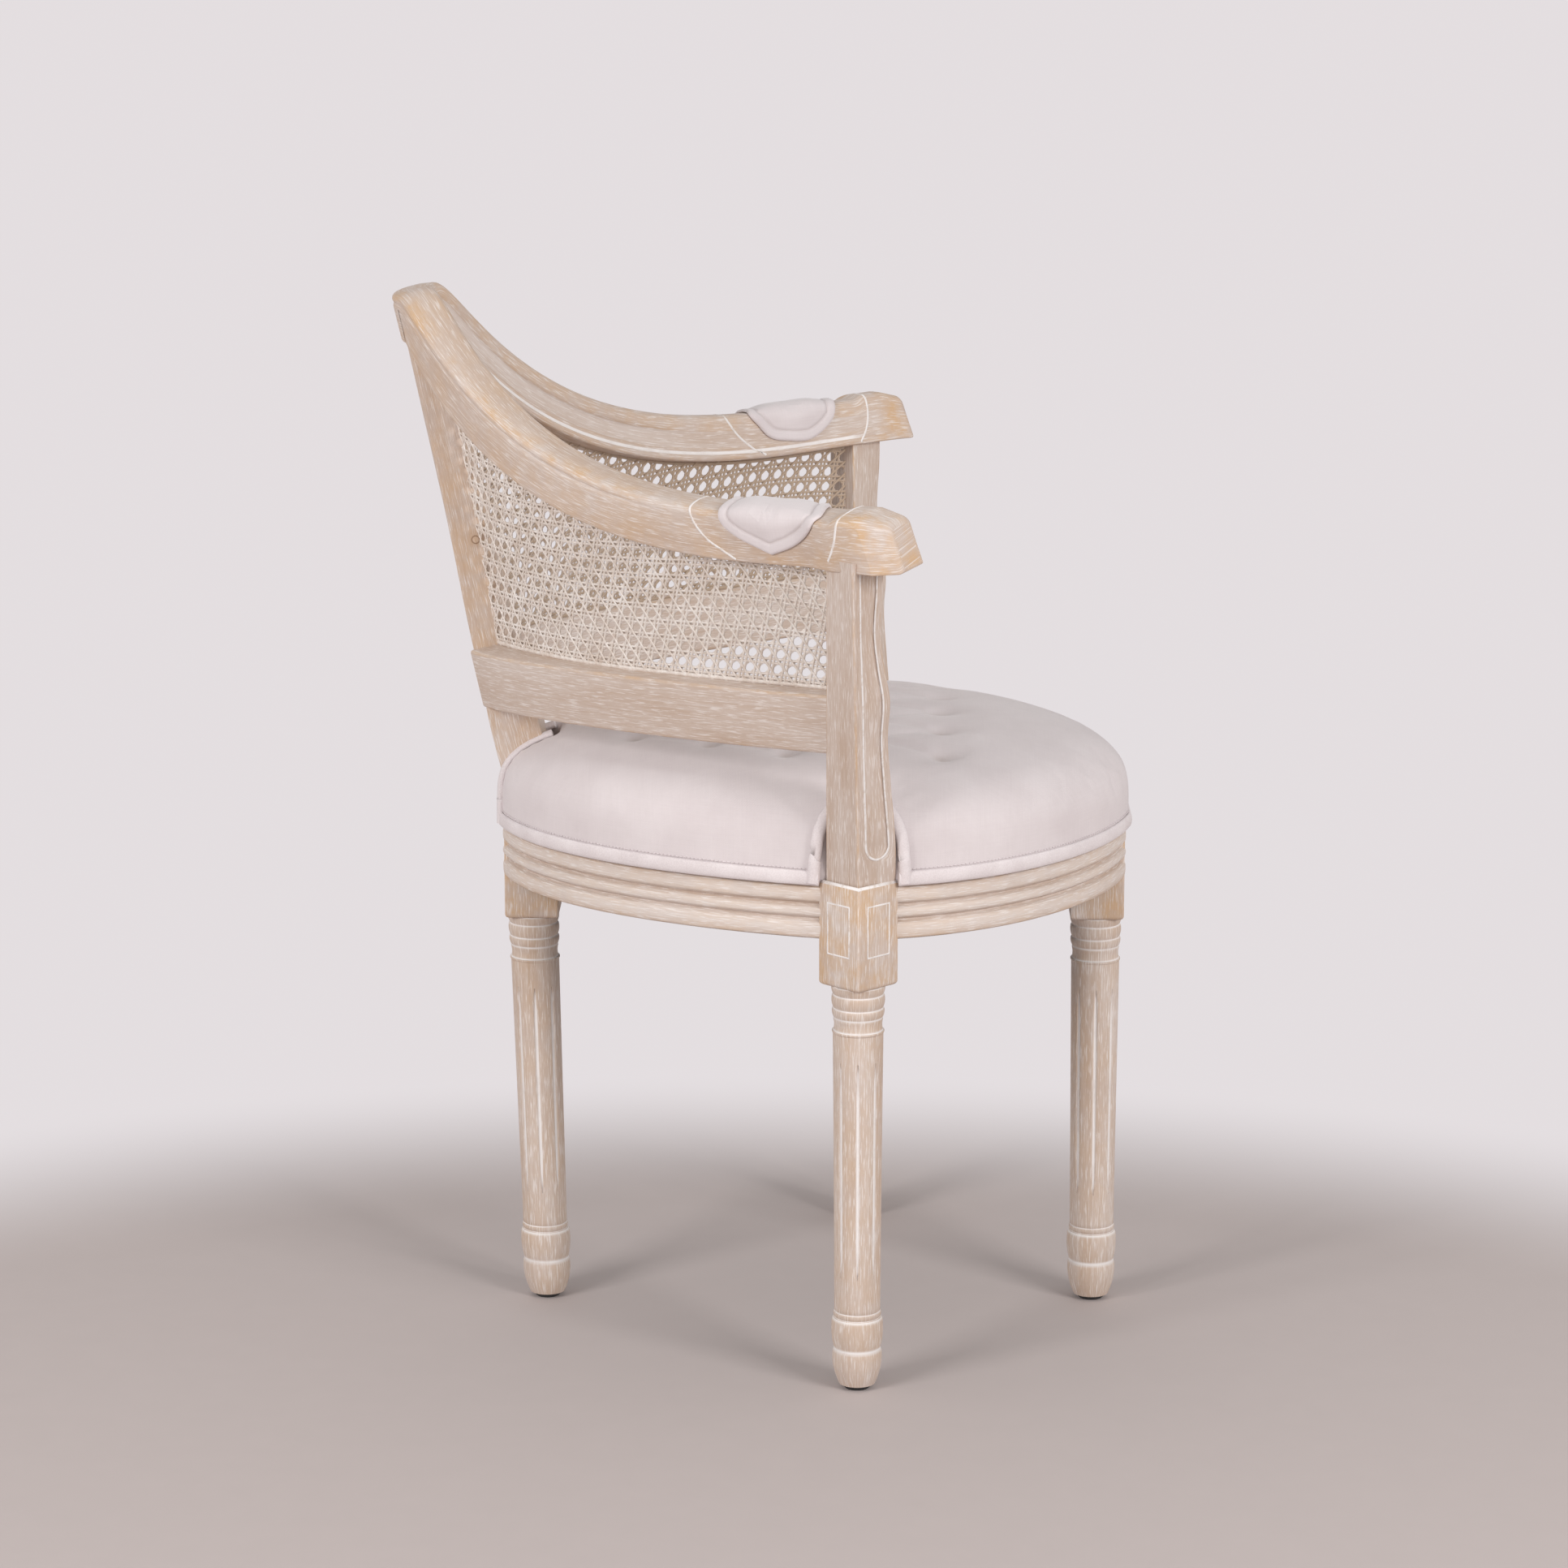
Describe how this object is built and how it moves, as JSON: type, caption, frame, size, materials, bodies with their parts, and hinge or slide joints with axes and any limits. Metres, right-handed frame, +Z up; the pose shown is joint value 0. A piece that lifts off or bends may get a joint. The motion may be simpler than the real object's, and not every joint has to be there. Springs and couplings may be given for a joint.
{
  "type": "corner chair",
  "caption": "Corner chair with a round tufted linen seat, fluted turned legs in a diamond, flared arms with pads and a cane back under a sweeping moulded top rail.",
  "frame": {"origin": "centre of the chair's box on the floor", "axes": "+Z up, -Y to the chair's front, +X to the sitter's left"},
  "size_m": [0.6808, 0.5846, 0.8283],
  "materials": {
    "limed_wood": "limed, open grain, matte",
    "inner_wood": "raw",
    "linen": "plain woven linen, matte",
    "cane": "woven cane, whitewashed",
    "dust_cloth": "plain cloth",
    "glide": "matte",
    "screw_steel": "plain"
  },
  "bodies": {
    "root": {"arm_post_dowels": "inner_wood", "back_rail_dowels": "inner_wood", "corner_block_screws": "screw_steel", "crest_dowels": "inner_wood", "deck_screws": "screw_steel", "dust_cover": "dust_cloth", "front_corner_block": "inner_wood", "front_glide": "glide", "front_left_seat_rail": "limed_wood", "front_left_welt": "linen", "front_leg": "limed_wood", "front_right_seat_rail": "limed_wood", "front_right_welt": "linen", "left_arm_pad": "linen", "left_arm_post": "limed_wood", "left_arm_rail": "limed_wood", "left_back_rail": "limed_wood", "left_cane_panel": "cane", "left_corner_block": "inner_wood", "left_glide": "glide", "left_leg": "limed_wood", "rear_corner_block": "inner_wood", "rear_glide": "glide", "rear_left_seat_rail": "limed_wood", "rear_left_welt": "linen", "rear_leg": "limed_wood", "rear_post": "limed_wood", "rear_post_dowels": "inner_wood", "rear_right_seat_rail": "limed_wood", "rear_right_welt": "linen", "right_arm_pad": "linen", "right_arm_post": "limed_wood", "right_arm_rail": "limed_wood", "right_back_rail": "limed_wood", "right_cane_panel": "cane", "right_corner_block": "inner_wood", "right_glide": "glide", "right_leg": "limed_wood", "seat_cushion": "linen", "seat_deck": "inner_wood", "seat_rail_dowels": "inner_wood"}
  },
  "joints": []
}
